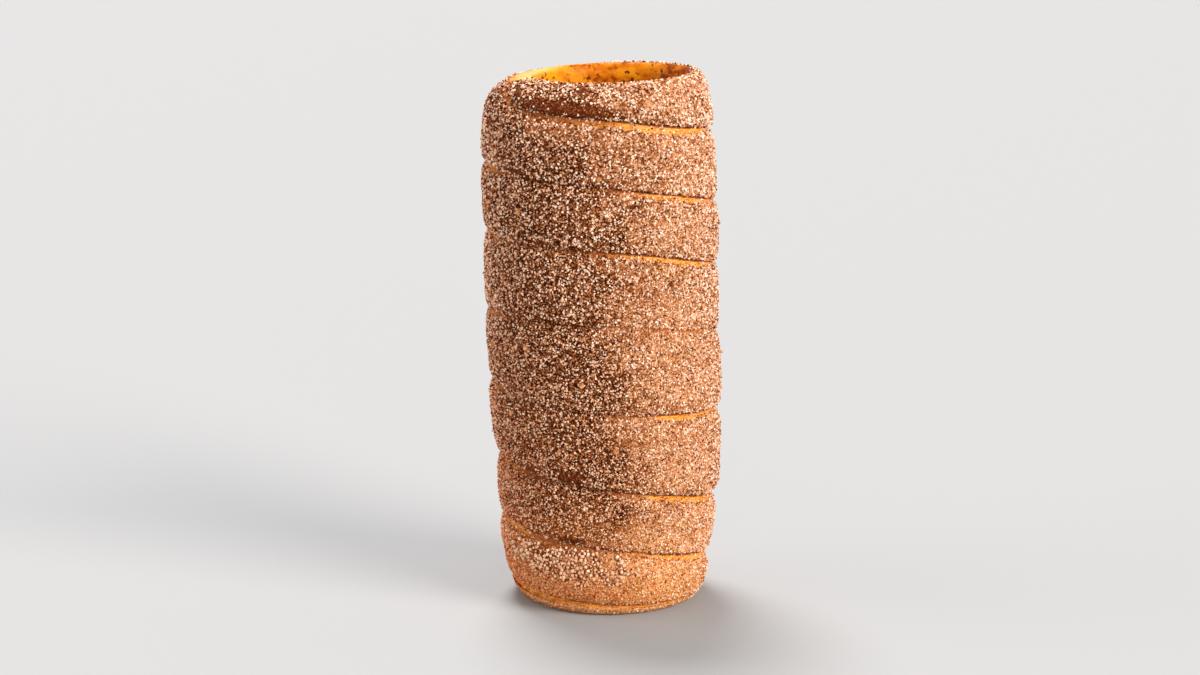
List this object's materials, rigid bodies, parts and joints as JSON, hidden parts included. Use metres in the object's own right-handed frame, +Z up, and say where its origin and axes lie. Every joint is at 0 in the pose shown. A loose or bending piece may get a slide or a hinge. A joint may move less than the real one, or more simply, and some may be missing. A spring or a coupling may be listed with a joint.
{
  "type": "chimney cake",
  "caption": "Tall hollow spit-baked sweet dough tube, wound in a falling helix and coated in coarse cinnamon sugar, standing upright.",
  "frame": {"origin": "on the floor under the middle of the cake's box", "axes": "+Z up along the bore towards the rim, -Y towards the shown front, +X to the viewer's right"},
  "size_m": [0.0968, 0.094, 0.2125],
  "materials": {
    "sugared_crust": "dark golden brown crust under a coarse matt coat of cinnamon sugar",
    "coarse_sugar": "matt sugar grains, pale pinkish beige to tan"
  },
  "bodies": {
    "root": {"chimney_cake": "sugared_crust"}
  },
  "joints": []
}
